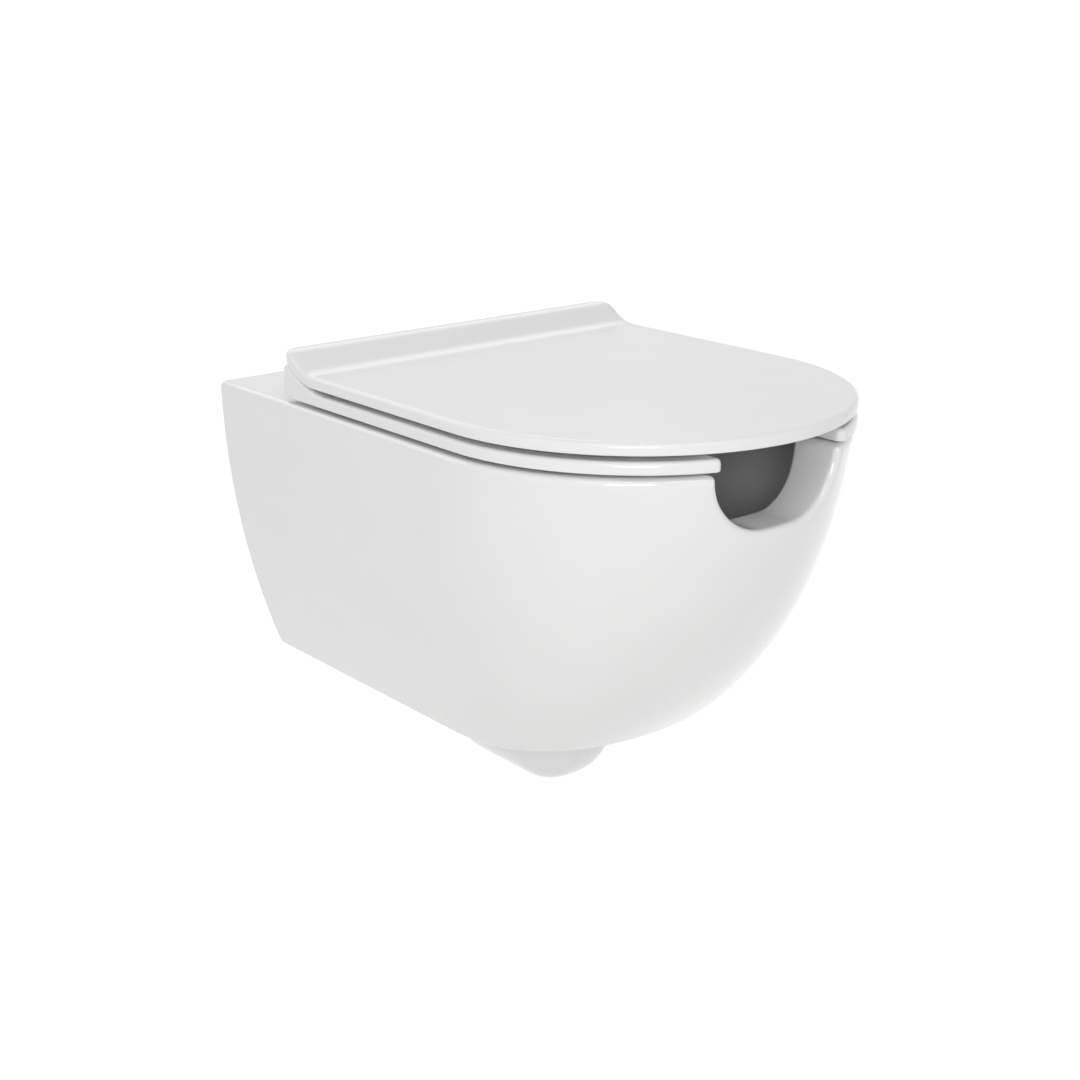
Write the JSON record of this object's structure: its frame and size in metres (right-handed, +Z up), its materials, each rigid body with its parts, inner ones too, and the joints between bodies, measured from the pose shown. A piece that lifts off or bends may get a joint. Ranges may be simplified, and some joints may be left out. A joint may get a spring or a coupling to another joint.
{
  "type": "wall hung toilet",
  "caption": "Wall hung ceramic toilet pan with a U-shaped cut-out in the front rim, an open front seat and a slim lid with a raised rear lip on soft-close hinges.",
  "frame": {"origin": "midway between the two wall stud holes, on the wall face of the pan", "axes": "+X to the right seen from the front, +Y into the wall (the pan stands out towards -Y), +Z up"},
  "size_m": [0.365, 0.5157, 0.3908],
  "materials": {
    "glazed_ceramic": "gloss glaze, white",
    "seat_plastic": "polished moulded thermoset, white",
    "lid_plastic": "polished moulded thermoset, white",
    "buffer_rubber": "soft matte, pale grey",
    "plated_zinc": "polished plating",
    "stainless": "satin turned steel",
    "damper_plastic": "matte, dark grey",
    "nylon": "matte, natural white",
    "black_rubber": "matte, black",
    "brass": "turned",
    "zinc_steel": "bright zinc plating"
  },
  "bodies": {
    "pan": {"pan": "glazed_ceramic", "hinge_base_left": "plated_zinc", "hinge_base_right": "plated_zinc", "hinge_post_left": "plated_zinc", "hinge_post_right": "plated_zinc", "hinge_pin_left": "stainless", "hinge_pin_right": "stainless", "wall_bracket_left": "zinc_steel", "wall_bracket_right": "zinc_steel", "seat_damper_rotor": "nylon", "lid_damper_rotor": "nylon", "hinge_grub_screws": "stainless", "hinge_screws": "stainless", "hinge_gaskets": "black_rubber", "anchor_plugs": "black_rubber", "anchor_nuts": "brass", "fixing_sleeves": "nylon", "pressure_plates": "zinc_steel", "clamp_screws": "zinc_steel"},
    "seat": {"seat": "seat_plastic", "seat_buffers": "buffer_rubber", "seat_damper_housing": "damper_plastic", "seat_bush": "nylon"},
    "lid": {"lid": "lid_plastic", "lid_buffers": "buffer_rubber", "lid_damper_housing": "damper_plastic", "lid_bush": "nylon"}
  },
  "joints": [
    {"name": "seat_hinge", "type": "hinge", "parent": "pan", "child": "seat", "pos_m": [0, -0.104, 0.102], "axis": [-1, 0, 0], "range_deg": [0, 91]},
    {"name": "lid_hinge", "type": "hinge", "parent": "seat", "child": "lid", "pos_m": [0, -0.104, 0.102], "axis": [-1, 0, 0], "range_deg": [0, 93]}
  ]
}
